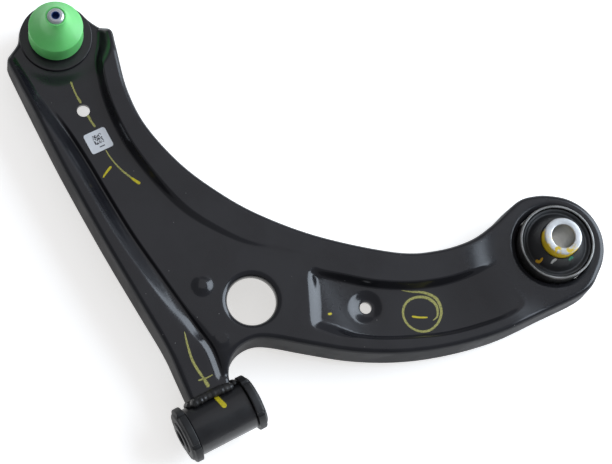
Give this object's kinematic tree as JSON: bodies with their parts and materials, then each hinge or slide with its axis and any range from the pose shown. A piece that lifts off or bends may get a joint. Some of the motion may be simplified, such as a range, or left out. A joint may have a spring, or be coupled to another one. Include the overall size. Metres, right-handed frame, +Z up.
{
  "type": "control arm",
  "caption": "L-shaped pressed-steel lower suspension arm with a welded front bush, a pressed-in upright rear bush and a capped ball joint.",
  "frame": {"origin": "centre of the bounding box in X and Y, at the lowest point of the rear bush's inner sleeve", "axes": "+X from the front bush towards the rear bush, +Y from the bush line out towards the ball joint, +Z up along the ball stud; the arm stands on the rear bush sleeve"},
  "size_m": [0.3354, 0.3624, 0.069],
  "materials": {
    "black_paint": "glossy black dip paint",
    "plain_steel": "machined, lightly oiled",
    "zinc_steel": "pale zinc plating",
    "rubber": "moulded satin rubber",
    "seat_polymer": "natural acetal",
    "green_plastic": "thin translucent green polyethylene",
    "label_film": null
  },
  "bodies": {
    "arm": {"arm_pressing": "black_paint", "front_bush_tube": "black_paint", "front_bush_shell": "plain_steel", "front_bush_rubber": "rubber", "front_weld_top": "black_paint", "front_weld_left": "black_paint", "front_weld_right": "black_paint", "rear_bush_shell": "plain_steel", "rear_bush_rubber": "rubber", "ball_joint_housing": "black_paint", "ball_joint_snap_ring": "plain_steel", "ball_joint_end_plate": "plain_steel", "boot_clamp_ring": "plain_steel", "data_label": "label_film"},
    "front_pivot": {"front_inner_sleeve": "zinc_steel"},
    "rear_pivot": {"rear_inner_sleeve": "zinc_steel"},
    "joint_heading": {"ball_seat": "seat_polymer", "dust_boot": "rubber"},
    "joint_tilt": {"boot_upper_ring": "plain_steel"},
    "stud": {"ball_stud": "plain_steel"},
    "cap": {"stud_cap": "green_plastic"}
  },
  "joints": [
    {"name": "front_bush_twist", "type": "hinge", "parent": "arm", "child": "front_pivot", "pos_m": [-0.13785, -0.13942, 0.023], "axis": [1, 0, 0], "range_deg": [-15, 15]},
    {"name": "rear_bush_tilt", "type": "hinge", "parent": "arm", "child": "rear_pivot", "pos_m": [0.13015, -0.13942, 0.023], "axis": [1, 0, 0], "range_deg": [-15, 15], "stiffness_Nm_per_rad": 170, "deforming": ["rear_bush_rubber"]},
    {"name": "ball_heading", "type": "hinge", "parent": "arm", "child": "joint_heading", "pos_m": [-0.11585, 0.15458, 0.017], "axis": [0, 0, 1], "continuous": true},
    {"name": "ball_tilt", "type": "hinge", "parent": "joint_heading", "child": "joint_tilt", "pos_m": [-0.11585, 0.15458, 0.017], "axis": [0, 1, 0], "range_deg": [-8, 8], "deforming": ["dust_boot"]},
    {"name": "ball_spin", "type": "hinge", "parent": "joint_tilt", "child": "stud", "pos_m": [-0.11585, 0.15458, 0.017], "axis": [0, 0, 1], "continuous": true},
    {"name": "cap_pull", "type": "slide", "parent": "stud", "child": "cap", "axis": [0, 0, 1], "range_m": [0, 0.06]}
  ],
  "couplings": [
    {"joint": "front_bush_twist", "follows": "rear_bush_tilt", "ratio": 1}
  ]
}
